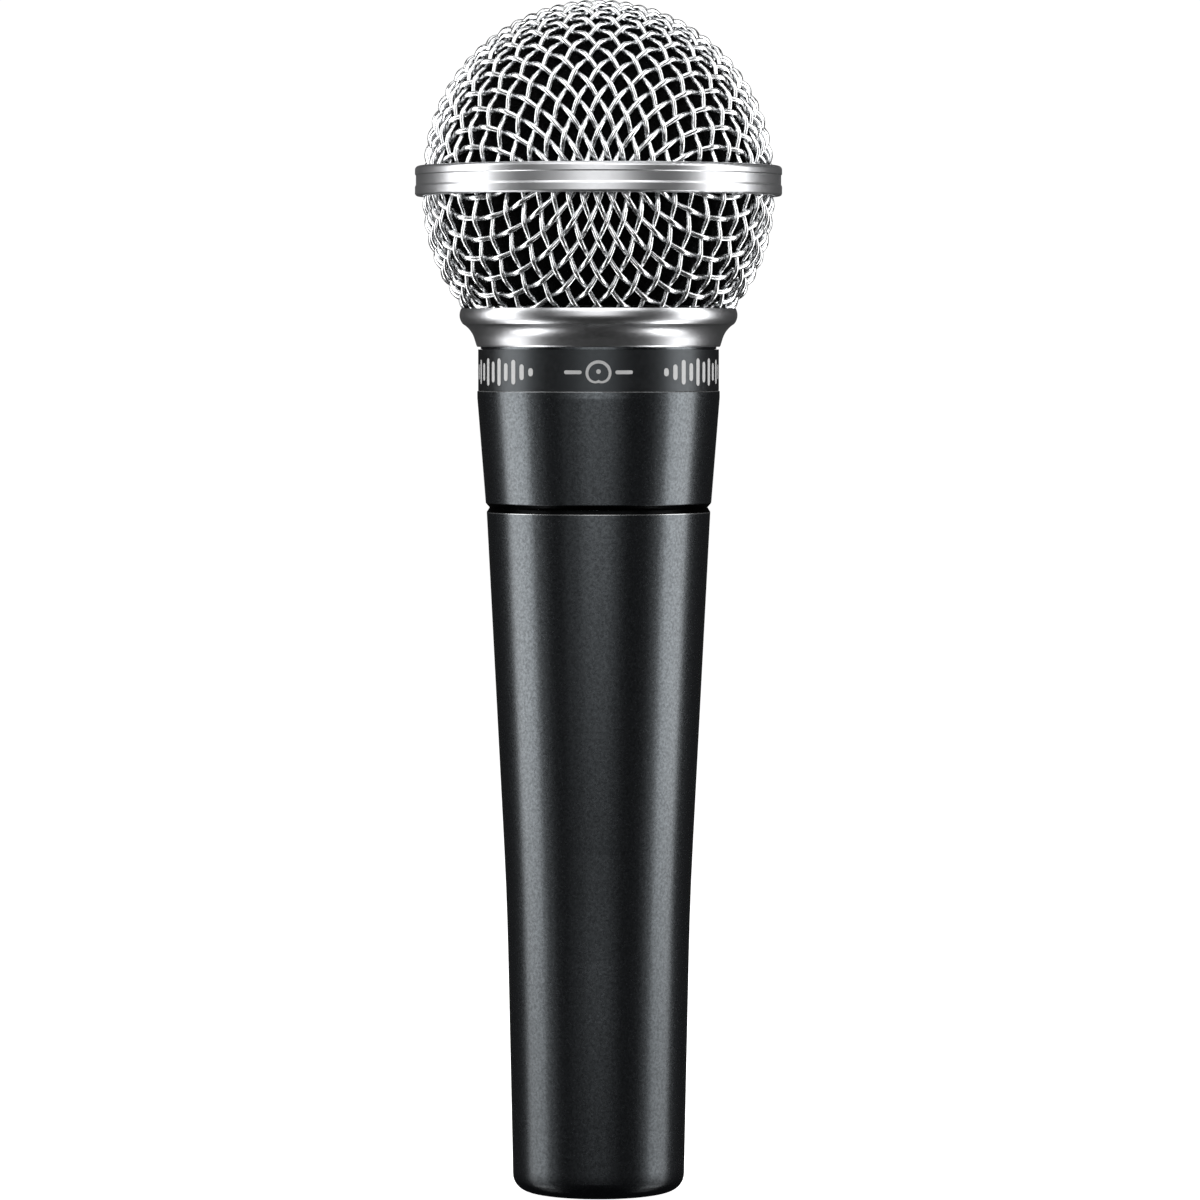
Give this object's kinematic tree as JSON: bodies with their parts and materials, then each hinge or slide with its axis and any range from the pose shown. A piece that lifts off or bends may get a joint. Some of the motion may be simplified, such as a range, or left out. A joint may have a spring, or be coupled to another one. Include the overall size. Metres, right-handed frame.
{
  "type": "dynamic microphone",
  "caption": "Handheld wired vocal microphone with a woven-wire ball grille, foam liner, moving-coil cartridge on a rubber mount, and a tapered two-part handle with a connector socket.",
  "frame": {"origin": "centre of the butt's flat end, on the microphone's axis", "axes": "+Z along the axis from the connector end to the grille; -Y is the front; +X is to the right seen from the front"},
  "size_m": [0.0498, 0.0498, 0.162],
  "materials": {
    "wire_mesh": "woven steel wire, satin nickel plated",
    "satin_metal": "satin nickel plate",
    "foam": "black open-cell foam",
    "handle_paint": "dark grey fine metallic enamel",
    "band_black": "black satin strip with a plain printed rule",
    "black_plastic": "black moulded plastic",
    "grey_plastic": "grey moulded plastic",
    "rubber": "soft black rubber",
    "pin_metal": "bright plated contacts",
    "screw_steel": "blackened steel",
    "copper": "enamelled copper wire",
    "solder_lug": "tinned brass",
    "core_steel": "laminated core steel",
    "magnet_steel": "sintered magnet",
    "pole_steel": "zinc plated soft steel",
    "aluminium": "satin turned aluminium",
    "clear_film": "thin polyester film",
    "screen_cloth": "fine acoustic cloth",
    "felt": "grey felt",
    "board": "phenolic board",
    "glue": "hot-melt adhesive",
    "wire_red": "insulated wire"
  },
  "bodies": {
    "handle": {"lower_handle": "handle_paint", "xlr_insert": "black_plastic", "xlr_pin_1": "pin_metal", "xlr_pin_2": "pin_metal", "xlr_pin_3": "pin_metal", "ground_spring": "solder_lug", "connector_set_screw": "screw_steel", "output_leads": "wire_red", "transformer_core": "core_steel", "transformer_bobbin": "black_plastic", "transformer_winding": "copper", "transformer_terminal_board": "board", "transformer_glue": "glue"},
    "leads": {"cartridge_leads": "wire_red"},
    "head": {"upper_handle": "handle_paint", "identification_band": "band_black", "shock_mount": "rubber", "shock_mount_ring": "aluminium"},
    "cartridge": {"rear_chamber": "grey_plastic", "lead_grommet": "rubber", "pigtail_leads": "wire_red", "terminal_board": "board", "cartridge_terminals": "solder_lug", "cartridge_base_plate": "aluminium", "rear_felt": "felt", "cartridge_frame": "black_plastic", "rear_port_screen": "screen_cloth", "yoke_cup": "pole_steel", "magnet": "magnet_steel", "pole_piece": "pole_steel", "top_plate": "pole_steel", "diaphragm_ring": "aluminium", "cartridge_cap": "aluminium", "cap_screen": "screen_cloth"},
    "voice_coil": {"voice_coil": "copper", "diaphragm": "clear_film"},
    "foam_liner": {"foam_liner": "foam"},
    "grille": {"grille_upper_mesh": "wire_mesh", "grille_lower_mesh": "wire_mesh", "grille_band": "satin_metal", "grille_collar": "satin_metal"}
  },
  "joints": [
    {"name": "handle_part", "type": "slide", "parent": "handle", "child": "leads", "axis": [0, 0, 1], "range_m": [0, 0.025], "deforming": ["cartridge_leads"]},
    {"name": "handle_unscrew", "type": "hinge", "parent": "leads", "child": "head", "pos_m": [0, 0, 0.09], "axis": [0, 0, 1], "continuous": true},
    {"name": "cartridge_float", "type": "slide", "parent": "head", "child": "cartridge", "axis": [0, 0, 1], "range_m": [-0.0008, 0.0008], "stiffness_N_per_m": 2130, "springref_m": 0.0003, "deforming": ["shock_mount"]},
    {"name": "diaphragm_travel", "type": "slide", "parent": "cartridge", "child": "voice_coil", "axis": [0, 0, 1], "range_m": [-0.0003, 0.0003], "stiffness_N_per_m": 89, "deforming": ["diaphragm"]},
    {"name": "grille_lift", "type": "slide", "parent": "head", "child": "foam_liner", "axis": [0, 0, 1], "range_m": [0, 0.045]},
    {"name": "grille_unscrew", "type": "hinge", "parent": "foam_liner", "child": "grille", "pos_m": [0, 0, 0.117], "axis": [0, 0, 1], "continuous": true}
  ]
}
